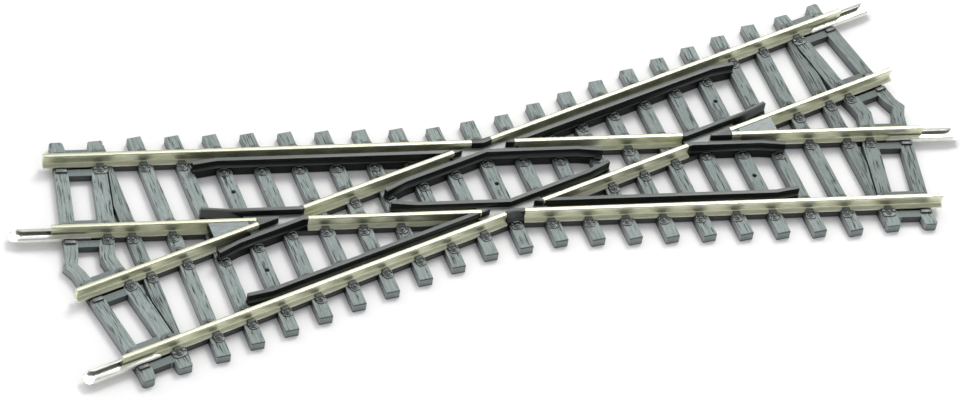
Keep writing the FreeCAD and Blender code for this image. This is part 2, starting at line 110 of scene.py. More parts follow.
# ---------------------------------------------------------------------------
# closed shells: (vertices Nx3 in mm, list of faces)
# ---------------------------------------------------------------------------
def side_faces(n, rings):
    """Quads between neighbouring rings of n vertices."""
    faces = []
    for j in range(rings - 1):
        for i in range(n):
            k = (i + 1) % n
            faces.append((j * n + i, j * n + k, (j + 1) * n + k, (j + 1) * n + i))
    return faces


def cap_faces(n, rings):
    return [tuple(range(n))[::-1], tuple(range((rings - 1) * n, rings * n))]


def fix_out(verts, faces):
    """Turn a closed shell the right way out."""
    volume = 0.0
    for face in faces:
        first = verts[face[0]]
        for i in range(1, len(face) - 1):
            volume += np.dot(first, np.cross(verts[face[i]], verts[face[i + 1]]))
    if volume < 0:
        faces = [tuple(face[::-1]) for face in faces]
    return verts, faces


def prism(pts, z0, z1):
    """Upright prism over a plan polygon."""
    area = sum(a[0] * b[1] - b[0] * a[1] for a, b in zip(pts, pts[1:] + pts[:1]))
    if area < 0:
        pts = pts[::-1]
    verts = [(x, y, z0) for x, y in pts] + [(x, y, z1) for x, y in pts]
    n = len(pts)
    return np.array(verts, float), cap_faces(n, 2) + side_faces(n, 2)


def strip(p, q, half, z0, z1):
    """Upright straight wall from p to q, half thick to either side."""
    dx, dy = q[0] - p[0], q[1] - p[1]
    length = math.hypot(dx, dy)
    nx, ny = -dy / length, dx / length
    left = [(a[0] + nx * half, a[1] + ny * half) for a in (p, q)]
    right = [(a[0] - nx * half, a[1] - ny * half) for a in (p, q)]
    return prism(left + right[::-1], z0, z1)


def sweep(profile, p0, p1, cuts=(), inset=0.0):
    """Bar: an (across, up) profile carried from p0 to p1.  With an inset, the end
    rings are drawn in a little, as on a deburred cut end, and cuts add rings between."""
    dx, dy = p1[0] - p0[0], p1[1] - p0[1]
    length = math.hypot(dx, dy)
    ux, uy = dx / length, dy / length
    profile = np.array(profile, float)
    across, up = profile[:, 0], profile[:, 1]
    if 0.5 * np.sum(across * np.roll(up, -1) - np.roll(across, -1) * up) < 0:
        profile = profile[::-1]
    if inset:
        from_mean = profile - profile.mean(0)
        small = profile - np.sign(from_mean) * np.minimum(inset, np.abs(from_mean) * 0.5)
        rings = [(0.0, small), (inset, profile)]
        rings += [(t, profile) for t in cuts if inset * 2 < t < length - inset * 2]
        rings += [(length - inset, profile), (length, small)]
    else:
        rings = [(0.0, profile), (length, profile)]
    verts = [(p0[0] + ux * t - uy * s, p0[1] + uy * t + ux * s, z)
             for t, ring in rings for s, z in ring]
    n = len(profile)
    faces = [(b, c, d, a) for a, b, c, d in side_faces(n, len(rings))]
    return fix_out(np.array(verts, float), faces + cap_faces(n, len(rings)))


def lathe(centre, profile, n):
    """Turned shell about a vertical axis; profile runs (r, z) from the bottom up."""
    verts = []
    for r, z in profile:
        for i in range(n):
            a = 2 * math.pi * i / n
            verts.append((centre[0] + r * math.cos(a), centre[1] + r * math.sin(a), z))
    rings = len(profile)
    return fix_out(np.array(verts, float), side_faces(n, rings) + cap_faces(n, rings))


def fillet(corners, segments):
    """Round the corners of a closed polygon given as (x, y, radius)."""
    out = []
    for i, (x, y, radius) in enumerate(corners):
        p = np.array((x, y), float)
        if radius <= 0:
            out.append(tuple(p))
            continue
        a = np.array(corners[i - 1][:2], float) - p
        b = np.array(corners[(i + 1) % len(corners)][:2], float) - p
        len_a, len_b = np.linalg.norm(a), np.linalg.norm(b)
        a, b = a / len_a, b / len_b
        half = math.acos(float(a @ b)) / 2
        setback = min(radius / math.tan(half), len_a * 0.48, len_b * 0.48)
        fitted = setback * math.tan(half)
        bisector = (a + b) / np.linalg.norm(a + b)
        c = p + bisector * (fitted / math.sin(half))
        p0, p1 = p + a * setback, p + b * setback
        start = math.atan2(p0[1] - c[1], p0[0] - c[0])
        end = math.atan2(p1[1] - c[1], p1[0] - c[0])
        turn = (end - start + math.pi) % (2 * math.pi) - math.pi
        for k in range(segments + 1):
            angle = start + turn * k / segments
            out.append((c[0] + fitted * math.cos(angle), c[1] + fitted * math.sin(angle)))
    return out


def both_halves(right):
    """Close a symmetric profile from its right half; the first column is across."""
    return right + [(-p[0], *p[1:]) for p in right[::-1]]


def flip_shell(shell, sx, sy):
    verts, faces = shell
    if sx * sy < 0:
        faces = [tuple(face[::-1]) for face in faces]
    return verts * np.array([sx, sy, 1.0]), faces


def copies(shells, signs):
    return [flip_shell(shell, sx, sy) for shell in shells for sx, sy in signs]


# ---------------------------------------------------------------------------
# objects and booleans
# ---------------------------------------------------------------------------
def add_object(name, me):
    ob = bpy.data.objects.new(name, me)
    bpy.context.scene.collection.objects.link(ob)
    return ob


def to_object(name, shells):
    """One object from several closed shells, in metres."""
    all_verts, all_faces, start = [], [], 0
    for verts, faces in shells:
        all_verts.append(verts)
        all_faces += [tuple(i + start for i in face) for face in faces]
        start += len(verts)
    me = bpy.data.meshes.new(name)
    me.from_pydata((np.concatenate(all_verts) * MM).tolist(), [], all_faces)
    me.update()
    return add_object(name, me)


def apply_modifiers(ob):
    bpy.context.view_layer.update()
    graph = bpy.context.evaluated_depsgraph_get()
    me = bpy.data.meshes.new_from_object(ob.evaluated_get(graph), preserve_all_data_layers=True,
                                         depsgraph=graph)
    old = ob.data
    ob.modifiers.clear()
    ob.data = me
    bpy.data.meshes.remove(old)


def boolean(ob, other, operation):
    """Join or cut, then remove the other object.  The exact solver steps in where
    the manifold solver leaves the mesh as it was."""
    before = len(ob.data.polygons)
    for solver in ("MANIFOLD", "EXACT"):
        modifier = ob.modifiers.new("bool", "BOOLEAN")
        modifier.operation, modifier.object, modifier.solver = operation, other, solver
        apply_modifiers(ob)
        if len(ob.data.polygons) != before:
            break
    me = other.data
    bpy.data.objects.remove(other)
    bpy.data.meshes.remove(me)


def apart_groups(shells):
    """Sort shells into groups whose boxes don't meet, so few solver calls are needed."""
    margin = 1e-3
    groups = []
    for verts, faces in shells:
        lo, hi = verts.min(0) - margin, verts.max(0) + margin
        for boxes, members in groups:
            if all(np.any(lo > box[1]) or np.any(hi < box[0]) for box in boxes):
                boxes.append((lo, hi))
                members.append((verts, faces))
                break
        else:
            groups.append(([(lo, hi)], [(verts, faces)]))
    return [members for _, members in groups]


def union_all(name, shells):
    groups = apart_groups(shells)
    ob = to_object(name, groups[0])
    for group in groups[1:]:
        boolean(ob, to_object(name + "_add", group), "UNION")
    return ob


def subtract_all(ob, shells):
    for group in apart_groups(shells):
        boolean(ob, to_object("cutter", group), "DIFFERENCE")


def mirror_mesh(me, sx, sy):
    me.transform(Matrix.Diagonal((sx, sy, 1, 1)))
    if sx * sy < 0:
        me.flip_normals()


def smooth(ob, angle):
    ob.data.shade_smooth()
    ob.data.set_sharp_from_angle(angle=math.radians(angle))


def drop_crumbs(bm):
    """Remove doubled triangles and any loose scrap that is not joined to the piece."""
    least_faces = 60
    seen = {}
    for face in bm.faces:
        seen.setdefault(frozenset(v.index for v in face.verts), []).append(face)
    twins = [face for same in seen.values() if len(same) > 1 for face in same]
    if twins:
        bmesh.ops.delete(bm, geom=twins, context="FACES")
    left = set(bm.faces)
    scrap = []
    while left:
        stack = [left.pop()]
        island = [stack[0]]
        while stack:
            for edge in stack.pop().edges:
                for face in edge.link_faces:
                    if face in left:
                        left.discard(face)
                        stack.append(face)
                        island.append(face)
        if len(island) < least_faces:
            scrap += island
    if scrap:
        bmesh.ops.delete(bm, geom=scrap, context="FACES")


def tidy(ob):
    """Weld what touches.  Triangles first, so that no larger face is lost in the weld."""
    bm = bmesh.new()
    bm.from_mesh(ob.data)
    bmesh.ops.triangulate(bm, faces=bm.faces)
    bmesh.ops.remove_doubles(bm, verts=bm.verts, dist=0.0006 * MM)
    drop_crumbs(bm)
    bm.to_mesh(ob.data)
    bm.free()
    ob.data.update()


# ---------------------------------------------------------------------------
# sleepers with a modelled wood grain
# ---------------------------------------------------------------------------
LINE_PITCH = 0.24            # fine grain lines across a sleeper
CRACKS_PER_MM2 = 0.42
GRAIN_MAX = 0.17
COLUMN_STEP, ROW_STEP = 0.088, 0.42
EDGE_R = 0.10                # rounding along the top edges
END_PINCH, PINCH_LEN = 0.10, 0.14    # the width draws in over the last bit of each end
SIDE_LEVELS = (0.0, 0.45, 0.95, 1.35)


def grain(u, v, width, length, rng):
    """Depth in mm below the plain top: u runs across the sleeper, v along it."""
    depth = np.zeros_like(u)
    # fine continuous lines, wandering slowly
    lines = int(width / LINE_PITCH)
    for i in range(lines):
        u0 = (i + rng.uniform(0.15, 0.85)) * width / lines
        line_w = rng.uniform(0.035, 0.06)
        line_d = rng.uniform(0.012, 0.045)
        sway, phase, rate = rng.uniform(0.02, 0.10), rng.uniform(0, 6.28), rng.uniform(0.15, 0.5)
        fade = 0.5 + 0.5 * np.sin(v * rng.uniform(0.25, 0.9) + rng.uniform(0, 6.28))
        centre = u0 + sway * np.sin(v * rate + phase)
        depth += line_d * fade * np.exp(-((u - centre) / line_w) ** 2)
    # cracks with two ends
    for i in range(int(length * width * CRACKS_PER_MM2)):
        u0, v0 = rng.uniform(0.12, width - 0.12), rng.uniform(0, length)
        crack_len = rng.uniform(0.7, 3.6)
        crack_w = rng.uniform(0.040, 0.072)
        crack_d = rng.uniform(0.045, 0.13)
        slant = rng.uniform(-0.03, 0.03)
        t = np.clip((v - v0) / crack_len, 0, 1)
        on = np.clip(np.sin(math.pi * t), 0, 1) ** 0.5 * ((v > v0) & (v < v0 + crack_len))
        aside = u - u0 - slant * (v - v0) - 0.03 * np.sin(v * 1.7 + i)
        depth += crack_d * on * np.exp(-(aside / crack_w) ** 2)
    # slow ripples across, stretched along
    depth += 0.008 * (1 + np.sin(u * 7.1 + 0.6 * np.sin(v * 0.31 + rng.uniform(0, 6))
                                 + rng.uniform(0, 6)))
    depth += 0.006 * (1 + np.sin(v * 0.9 + rng.uniform(0, 6)))
    return np.clip(depth, 0, GRAIN_MAX)


def plank_rows(bends, length, end_round):
    """Stations along a sleeper, closer together on the rounded ends."""
    steps = (0.08, 0.25, 0.5, 0.78, 1.0)
    count = max(3, int((length - end_round - end_round) / ROW_STEP))
    rows = [0.0, length]
    rows += [end_round * q for q in steps] + [length - end_round * q for q in steps]
    rows += list(np.linspace(end_round, length - end_round, count)[1:-1]) + list(bends)
    rows = np.array(sorted(set(np.round(rows, 4))))
    rows = rows[np.array([True] + list(np.diff(rows) > 0.012))]
    rows[-1] = length
    return rows


def plank(left, right, seed, top=SLEEPER_TOP, end_round=0.30):
    """One sleeper between two matching edge polylines."""
    rng = np.random.default_rng(seed)
    left, right = np.array(left, float), np.array(right, float)
    steps = np.linalg.norm(np.diff((left + right) / 2, axis=0), axis=1)
    stations = np.concatenate([[0], np.cumsum(steps)])
    length = stations[-1]
    rows = plank_rows(stations[1:-1], length, end_round)

    def at_rows(line):
        return np.stack([np.interp(rows, stations, line[:, 0]),
                         np.interp(rows, stations, line[:, 1])], 1)

    left, right = at_rows(left), at_rows(right)
    width = np.linalg.norm(right - left, axis=1).max()
    edge_cols = [0.0, 0.03, 0.065, EDGE_R]
    inner_cols = np.linspace(EDGE_R * 1.6, width - EDGE_R * 1.6, max(6, int(width / COLUMN_STEP)))
    cols = np.concatenate([edge_cols, inner_cols, width - np.array(edge_cols[::-1])])
    share = cols / width
    # wandering edges; six phases are drawn and four used
    phase = rng.uniform(0, 6.28, 6)
    wander_l = 0.018 * np.sin(rows * 0.7 + phase[0]) + 0.012 * np.sin(rows * 1.9 + phase[1])
    wander_r = 0.018 * np.sin(rows * 0.8 + phase[2]) + 0.012 * np.sin(rows * 2.1 + phase[3])
    # end rounding
    sink, pinch = np.zeros(len(rows)), np.zeros(len(rows))
    for dist in (rows, length - rows):
        q = np.clip(1 - dist / end_round, 0, 1)
        sink = np.maximum(sink, end_round * (1 - np.sqrt(np.clip(1 - q ** 2, 0, 1))))
        q = np.clip(1 - dist / PINCH_LEN, 0, 1)
        pinch = np.maximum(pinch, END_PINCH * (1 - np.sqrt(np.clip(1 - q ** 2, 0, 1))))
    u, v = np.meshgrid(share * width, rows)
    # the grain fades out on the rounded edge
    edge = np.minimum(u, width - u)
    depth = grain(u, v, width, length, rng) * np.clip((edge - 0.02) / 0.10, 0, 1)
    under_arc = np.sqrt(np.clip(EDGE_R * EDGE_R - (EDGE_R - edge) ** 2, 0, None))
    rounding = np.where(edge < EDGE_R, EDGE_R - under_arc, 0)
    surface = top - depth - rounding - sink[:, None] - 0.004

    levels = list(enumerate(SIDE_LEVELS))
    per = 2 * len(levels) + len(share)
    verts = []
    for j in range(len(rows)):
        a, b = left[j], right[j]
        aim = (b - a) / max(1e-6, np.linalg.norm(b - a))
        a = a + aim * (pinch[j] + wander_l[j] * 0.5 + 0.015)
        b = b - aim * (pinch[j] + wander_r[j] * 0.5 + 0.015)
        for i, z in levels:
            verts.append((a[0], a[1], min(z, surface[j, 0] - 0.02 * (len(levels) - i))))
        for i in range(len(share)):
            p = a + (b - a) * share[i]
            verts.append((p[0], p[1], surface[j, i]))
        for i, z in levels[::-1]:
            verts.append((b[0], b[1], min(z, surface[j, -1] - 0.02 * (len(levels) - i))))
    return fix_out(np.array(verts, float), side_faces(per, len(rows)) + cap_faces(per, len(rows)))


# ---------------------------------------------------------------------------
# rail chairs, in chair coordinates: u along the rail, s away from it, z up
# ---------------------------------------------------------------------------
CHAIR_BEVEL = 0.07
PLATE_Z = (SLEEPER_TOP - 0.25, SLEEPER_TOP + 0.15)
PART_FOOT = SLEEPER_TOP - 0.1      # parts on a plate start inside it
RIB_TOP = SLEEPER_TOP + 0.33
BOSS_TOP = SLEEPER_TOP + 0.30
CLIP_Z = SEAT_Z + 0.30             # top edge of the rail foot
JAW = [  # (s, z) section of the jaw that grips the rail foot
    (1.135, SLEEPER_TOP - 0.25), (1.135, CLIP_Z + 0.04), (0.67, CLIP_Z + 0.25),
    (0.66, CLIP_Z + 0.42), (0.74, CLIP_Z + 0.46), (1.15, CLIP_Z + 0.42),
    (1.42, SLEEPER_TOP + 0.36), (1.56, SLEEPER_TOP + 0.20), (1.56, SLEEPER_TOP - 0.25),
]
JAW_RINGS = [  # (u, how far the section is drawn in)
    (-0.70, 0.07), (-0.66, 0.02), (-0.60, 0.0), (0.60, 0.0), (0.66, 0.02), (0.70, 0.07),
]


def bevel_box(u0, u1, s0, s1, z0, z1, bevel=CHAIR_BEVEL):
    """Box with bevelled upper edges."""
    verts = []
    for z, q in ((z0, 0.0), (z1 - bevel, 0.0), (z1 - bevel * 0.3, bevel * 0.35), (z1, bevel)):
        verts += [(u0 + q, s0 + q, z), (u1 - q, s0 + q, z),
                  (u1 - q, s1 - q, z), (u0 + q, s1 - q, z)]
    return np.array(verts, float), cap_faces(4, 4) + side_faces(4, 4)


def chair_plate(half, s0, s1, radius):
    """Plate against the rail with its two outer corners rounded."""
    steps, bevel = 5, CHAIR_BEVEL
    z0, z1 = PLATE_Z
    angles = [math.pi / 2 * i / steps for i in range(steps + 1)]
    ring = [(-half, s0), (half, s0)]
    ring += [(half - radius + radius * math.cos(a), s1 - radius + radius * math.sin(a))
             for a in angles]
    ring += [(-half + radius - radius * math.sin(a), s1 - radius + radius * math.cos(a))
             for a in angles]
    verts = []
    for z, q in ((z0, 0.0), (z1 - bevel, 0.0), (z1 - bevel * 0.3, bevel * 0.35), (z1, bevel)):
        for u, s in ring:
            verts.append((u * (half - q) / half, s0 + (s - s0) * (s1 - s0 - q) / (s1 - s0), z))
    n = len(ring)
    return fix_out(np.array(verts, float), cap_faces(n, 4) + side_faces(n, 4))


def chair_jaw():
    verts = []
    for u, q in JAW_RINGS:
        for s, z in JAW:
            inward = q if s < 1.0 else -q if s > 1.5 else 0
            verts.append((u, s + inward, z - (q if z > SLEEPER_TOP + 0.1 else 0)))
    n, rings = len(JAW), len(JAW_RINGS)
    return fix_out(np.array(verts), side_faces(n, rings) + cap_faces(n, rings))


def ribs(inner, half, s0, s1):
    """Low blocks on the plate at both ends of the jaw."""
    return [bevel_box(-half + 0.06, -inner, s0, s1, PART_FOOT, RIB_TOP),
            bevel_box(inner, half - 0.06, s0, s1, PART_FOOT, RIB_TOP)]


def bolt_on_boss(s, radius):
    """Round raised seat with a washer ring and domed bolt head."""
    top, z = BOSS_TOP, SLEEPER_TOP + 0.29
    return [lathe((0, s), [(radius, PART_FOOT), (radius, top - 0.10), (radius - 0.03, top - 0.03),
                           (radius - 0.10, top)], 24),
            lathe((0, s), [(0.43, z - 0.20), (0.43, z + 0.10), (0.40, z + 0.145),
                           (0.34, z + 0.155), (0.295, z + 0.12), (0.275, z + 0.06),
                           (0.255, z + 0.06), (0.25, z + 0.22), (0.22, z + 0.275),
                           (0.15, z + 0.305), (0.06, z + 0.315)], 20)]


def place(shells, p, d, side):
    """Move chair shells to p on a rail running along d; side is 1 for left of d."""
    out = []
    n = (-d[1] * side, d[0] * side)
    for verts, faces in shells:
        u, s = verts[:, 0], verts[:, 1]
        moved = np.stack([p[0] + u * d[0] + s * n[0], p[1] + u * d[1] + s * n[1], verts[:, 2]], 1)
        out.append(fix_out(moved, faces))
    return out


def chair(p, d, side, length=1.95, width=1.80):
    """Chair that grips the foot of a running rail."""
    half = length / 2
    parts = [chair_plate(half, 1.136, 1.10 + width, 0.72), chair_jaw()]
    parts += ribs(0.66, half, 1.14, 1.95) + bolt_on_boss(2.06, 0.64)
    return place(parts, p, d, side)


def block_chair(p, d, side, length=1.95, width=1.75):
    """Chair with a plain block, beside a plastic rail."""
    half = length / 2
    s0 = 0.52 + FIT
    parts = [chair_plate(half, s0, s0 + width, min(0.7, width * 0.45)),
             bevel_box(-0.62, 0.62, s0 + 0.001, s0 + 0.42, PART_FOOT, SLEEPER_TOP + 0.58)]
    if width > 1.2:
        parts += ribs(0.62, half, s0 + 0.002, s0 + 0.62) + bolt_on_boss(s0 + 1.0, 0.62)
    return place(parts, p, d, side)


def all_chairs():
    def rank(k):
        return -k * SLEEPER_PITCH

    quarter = []
    for numbers, side in ((range(1, 10), 1), ((8, 9), -1)):
        for k in numbers:
            quarter += chair(on_outer(rank(k)), FALLING, side)
    for numbers, side in (((3, 4, 5), 1), ((4,), -1)):
        for k in numbers:
            quarter += chair(on_middle(rank(k)), RISING, side)
    for x in (rank(9), -69.65, -74.05):
        for side in (1, -1):
            quarter += chair(on_vee(x), FALLING, side)
    for side in (1, -1):
        quarter += chair(on_outer(-70.35), FALLING, side, length=2.7, width=1.9)
    # beside the check rails
    for k in range(2, 8):
        quarter += block_chair(on_outer(rank(k), -CHECK_DY), FALLING, -1)
    for k in (1, 2):
        quarter += block_chair(on_middle(rank(k), -CHECK_DY), RISING, -1)
    quarter += block_chair(on_middle(rank(3), -CHECK_DY - 0.5), RISING, -1, width=1.0)
    for k in (6, 7, 8):
        flare = 0.45 if k == 8 else 0
        quarter += block_chair(on_vee(rank(k), CHECK_DY + flare), FALLING, 1)
    # blocks beside the rail joiners
    for end in (OUTER_END, VEE_END):
        for side in (1, -1):
            block = bevel_box(-1.0, 1.0, 1.70, 2.50, 1.4, 2.16, bevel=0.12)
            quarter += place([block], along(end, FALLING, 3.3), FALLING, side)
    middle = block_chair((0, OBTUSE_Y - CHECK_DY - 0.02), (1, 0), -1, length=2.0)
    middle += block_chair((0, OBTUSE_Y + 0.62), (1, 0), 1, length=2.1)
    return copies(quarter, QUARTERS) + copies(middle, ACROSS_X_AXIS)


# ---------------------------------------------------------------------------
# sleeper base
# ---------------------------------------------------------------------------
# plan edges (x, y) of the far half of the special sleepers at the left end
CRANKED_LEFT = [(-77.12, 0.0), (-76.62, 2.3), (-76.15, 4.6), (-75.02, 8.1), (-71.15, 27.95),
                (-70.85, 28.35)]
CRANKED_RIGHT = [(-74.10, 0.0), (-73.75, 2.0), (-73.10, 4.2), (-71.95, 7.6), (-68.32, 27.6),
                 (-68.45, 28.1)]
LAST_LEFT = [(-84.20, 0.0), (-83.15, 2.1), (-82.62, 4.6), (-81.62, 10.0), (-78.25, 27.2),
             (-78.18, 29.3), (-77.7, 29.75)]
LAST_RIGHT = [(-81.50, 0.0), (-80.55, 2.2), (-80.02, 4.3), (-79.05, 9.5), (-75.62, 27.0),
              (-75.62, 28.9), (-75.95, 29.4)]


def cranked_x(y):
    """Right edge of the cranked sleeper beyond its bend."""
    return -71.95 + (y - 7.6) * 0.1815


# the tenth sleeper from the middle, its left edge stepped along the cranked one
TENTH_X0, TENTH_X1 = -70.98, -68.32
TENTH_LEFT = [(TENTH_X0, 0.0), (TENTH_X0, 11.9)]
TENTH_LEFT += [(cranked_x(y) + step, y)
               for y, step in ((16.0, 0.24), (20.9, 0.24), (21.5, -0.12), (24.5, -0.12))]
TENTH_LEFT += [(-69.05, 26.9)]
TENTH_RIGHT = [(TENTH_X1, y) for y in (0.0, 11.9, 16.0, 20.9, 21.5, 24.5)] + [(-68.36, 26.9)]

# webs under the rails of one quarter: (from, to, half width, bottom, top)
WEB_HALF, JOINER_WEB_HALF = 1.12, 3.25
WEBS = [
    (on_outer(-70.0), on_outer(0.0), WEB_HALF, 0.25, 1.50),
    (on_middle(-45.5), on_middle(0.0), WEB_HALF, 0.26, 1.495),
    (on_vee(-74.0), on_vee(-44.0), WEB_HALF, 0.255, 1.49),
    (along(OUTER_END, FALLING, 3.9), along(OUTER_END, FALLING, 9.6), JOINER_WEB_HALF, 0.25, 1.74),
    (along(VEE_END, FALLING, 3.9), along(VEE_END, FALLING, 9.8), JOINER_WEB_HALF, 0.252, 1.735),
]


def sleeper_shells():
    shells = []
    for k in range(-9, 10):
        half_len = 15.05 + 1.378 * abs(k) if k else 16.4
        x0, x1 = k * SLEEPER_PITCH - SLEEPER_W / 2, k * SLEEPER_PITCH + SLEEPER_W / 2
        shells.append(plank([(x0, -half_len), (x0, half_len)],
                            [(x1, -half_len), (x1, half_len)], 100 + k))

    def both_sides(line):
        return [(x, -y) for x, y in line[:0:-1]] + line

    for sx, first_seed in ((1, 300), (-1, 350)):
        for i, (left, right, top) in enumerate(((CRANKED_LEFT, CRANKED_RIGHT, SLEEPER_TOP),
                                                (LAST_LEFT, LAST_RIGHT, SLEEPER_TOP),
                                                (TENTH_LEFT, TENTH_RIGHT, SLEEPER_TOP - 0.02))):
            sleeper = plank(both_sides(left), both_sides(right), first_seed + i, top=top,
                            end_round=0.22)
            shells.append(flip_shell(sleeper, sx, 1))
    # lower filling of the groove between the cranked sleeper and the tenth
    fill = prism([(cranked_x(11.2) - 0.3, 11.2), (-70.7, 11.2), (cranked_x(21.8) + 0.6, 21.8),
                  (cranked_x(21.8) - 0.3, 21.8)], 0.02, SLEEPER_TOP - 0.55)
    return shells + copies([fill] + [strip(*web) for web in WEBS], QUARTERS)


def rail_voids():
    """Cutters round the three metal rails of each quarter, four copies of each in turn."""
    foot, web, head = FOOT_W / 2 + FIT, WEB_W / 2 + FIT, HEAD_W / 2 + FIT
    section = both_halves([
        (foot, SEAT_Z - 0.001), (foot, SEAT_Z + 0.30 + FIT), (web + 0.06, SEAT_Z + 0.60 + FIT),
        (web, SEAT_Z + 0.74), (web, SEAT_Z + 1.62), (head, SEAT_Z + 1.8), (head, SEAT_Z + 2.9)])
    voids = {}
    for kind, (start, end) in RAIL_LINES.items():
        if kind != "middle_rail":
            start = along(start, FALLING, -0.1)
        voids[kind] = copies([sweep(section, start, end)], QUARTERS)
    return voids


def wire_slot(p, q, wire_z):
    """Slot open below for a jumper wire, with a square hole up to the rail at each end."""
    half = 0.27
    length = math.hypot(q[0] - p[0], q[1] - p[1])
    d = ((q[0] - p[0]) / length, (q[1] - p[1]) / length)
    out = [strip(along(p, d, -0.28), along(q, d, 0.28), half, -0.5, wire_z + 0.26)]
    for x, y in (p, q):
        out.append(prism([(x - half, y - half), (x + half, y - half),
                          (x + half, y + half), (x - half, y + half)], -0.5, SEAT_Z + 0.05))
    return out


def base_cutters(voids):
    pocket = [(1.66, 1.18), (1.66, 3.0), (-1.66, 3.0), (-1.66, 1.18)]
    pockets = [sweep(pocket, along(end, FALLING, -1.0), along(end, FALLING, 9.0))
               for end in (OUTER_END, VEE_END)]
    pin_places = [(0, 0)] + [(sx * PIN_X, sy * PIN_Y) for sx, sy in QUARTERS]
    pins = [lathe(p, [(PIN_R, -1.0), (PIN_R, 3.4)], 32) for p in pin_places]
    # each slot crosses over its mirror image, which lies higher
    low, high = 0.36, 0.86
    slots = []
    for p, q, sx, sy in ((on_vee(-49.6, 0.20), (-36.9, -on_middle(-36.9)[1]), 1, -1),
                         (on_outer(-3.4), on_outer(7.4), -1, 1)):
        slots += wire_slot(p, q, low)
        slots += wire_slot((sx * p[0], sy * p[1]), (sx * q[0], sy * q[1]), high)
    rails = [shell for shells in voids.values() for shell in shells]
    return rails + copies(pockets, QUARTERS) + pins + copies(slots, HALF_TURN)


def build_base():
    ob = union_all("sleeper_base_wood", sleeper_shells())
    voids = rail_voids()
    subtract_all(ob, base_cutters(voids))
    boolean(ob, union_all("chairs", all_chairs()), "UNION")
    # the chairs reach into the middle rails' seats, so these are cut again
    subtract_all(ob, voids["middle_rail"])
    tidy(ob)
    smooth(ob, 38)
    return ob


# ---------------------------------------------------------------------------
# rails
# ---------------------------------------------------------------------------
def rail_section():
    foot, web, head = FOOT_W / 2, WEB_W / 2, HEAD_W / 2
    z = SEAT_Z
    # (across, up, corner radius)
    return fillet(both_halves([
        (foot, z, 0.05), (foot, z + 0.28, 0.07), (web + 0.08, z + 0.56, 0.22),
        (web, z + 0.72, 0.10), (web, z + 1.60, 0.16), (head, z + 1.83, 0.07),
        (head, z + RAIL_H, 0.15)]), 4)


def build_rail(kind, node, sx, sy):
    p0, p1 = RAIL_LINES[kind]
    length = math.hypot(p1[0] - p0[0], p1[1] - p0[1])
    cuts = np.linspace(0, length, max(3, int(length / 2.5)))
    shell = sweep(rail_section(), p0, p1, cuts=cuts, inset=0.035)
    name = node + "_metal"
    if kind == "vee_rail":
        # cut back just short of the long axis, where the two vee rails come together
        ob = to_object(name, [shell])
        subtract_all(ob, [prism([(-60, -5), (-40, -5), (-40, 0.11), (-60, 0.11)], 0, 6)])
        if sx < 0 or sy < 0:
            mirror_mesh(ob.data, sx, sy)
    else:
        ob = to_object(name, [flip_shell(shell, sx, sy)])
    tidy(ob)
    smooth(ob, 40)
    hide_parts(node)
    return ob


# ---------------------------------------------------------------------------
# plastic crossings and check rails: the CAD shape with softened edges
# ---------------------------------------------------------------------------
def soften(node, name):
    me = NODES[node].data.copy()
    me.name = name
    ob = add_object(name, me)
    me.materials.clear()
    bm = bmesh.new()
    bm.from_mesh(me)
    bmesh.ops.remove_doubles(bm, verts=bm.verts, dist=0.002 * MM)
    bmesh.ops.dissolve_limit(bm, angle_limit=math.radians(0.6), verts=bm.verts, edges=bm.edges)
    bmesh.ops.remove_doubles(bm, verts=bm.verts, dist=0.008 * MM)
    edges = [e for e in bm.edges
             if len(e.link_faces) == 2 and e.calc_face_angle(0) > math.radians(28)
             and e.is_convex and e.calc_length() > 0.10 * MM]
    bmesh.ops.bevel(bm, geom=edges, offset=0.055 * MM, offset_type="OFFSET", segments=2,
                    profile=0.6, affect="EDGES", clamp_overlap=True, miter_outer="ARC")
    bmesh.ops.remove_doubles(bm, verts=bm.verts, dist=0.001 * MM)
    bmesh.ops.recalc_face_normals(bm, faces=bm.faces)
    bm.to_mesh(me)
    bm.free()
    return ob


def mirrored_moulding(source, name):
    """The same moulding on the other side of the long axis."""
    ob = add_object(name, source.data.copy())
    ob.data.name = name
    ob.data.materials.clear()
    mirror_mesh(ob.data, 1, -1)
    return ob


# ---------------------------------------------------------------------------
# rail joiners: folded sheet round the rail foot, with a tongue at the outer end
# ---------------------------------------------------------------------------
LIP_REACH, LIP_SLOPE = 0.50, 0.359     # the lips rise over the foot to this far from its middle


def joiner_section():
    z, gap, wall = SEAT_Z, JOINER_GAP, JOINER_WALL
    inner = FOOT_W / 2 + gap
    outer = inner + wall
    lip_z = z + 0.30 + gap + (inner - LIP_REACH) * LIP_SLOPE + 0.02
    # (across, up, corner radius): up the inside, over the lip, down the outside
    return fillet(both_halves([
        (inner, z - gap, 0.06), (inner, z + 0.30 + gap, 0.05), (LIP_REACH, lip_z, 0.0),
        (LIP_REACH, lip_z + wall, 0.06), (outer - 0.02, z + 0.30 + gap + wall * 0.75, 0.17),
        (outer, z - gap - wall, 0.16)]), 5)


def joiner_tongue(end, d, outer_u):
    """Thin plate with rounded corners, its upper edge eased."""
    half_w = FOOT_W / 2 + JOINER_GAP + JOINER_WALL - 0.06
    tip, root, radius = outer_u - JOINER_TONGUE, outer_u + 0.5, 0.72
    plan = fillet([(root, half_w, 0), (tip, half_w, radius),
                   (tip, -half_w, radius), (root, -half_w, 0)], 8)
    floor_z = SEAT_Z - JOINER_GAP
    verts = []
    # rings as (z, shift from the tip, scale)
    for z, shift, scale in ((floor_z - 0.17, 0.0, 1.0), (floor_z - 0.03, 0.0, 1.0),
                            (floor_z + 0.01, 0.03, 0.97), (floor_z + 0.02, 0.09, 0.92)):
        for u, s in plan:
            u, s = tip + shift + (u - tip) * scale, s * scale
            verts.append((end[0] + d[0] * u - d[1] * s, end[1] + d[1] * u + d[0] * s, z))
    n = len(plan)
    return fix_out(np.array(verts, float), cap_faces(n, 4) + side_faces(n, 4))


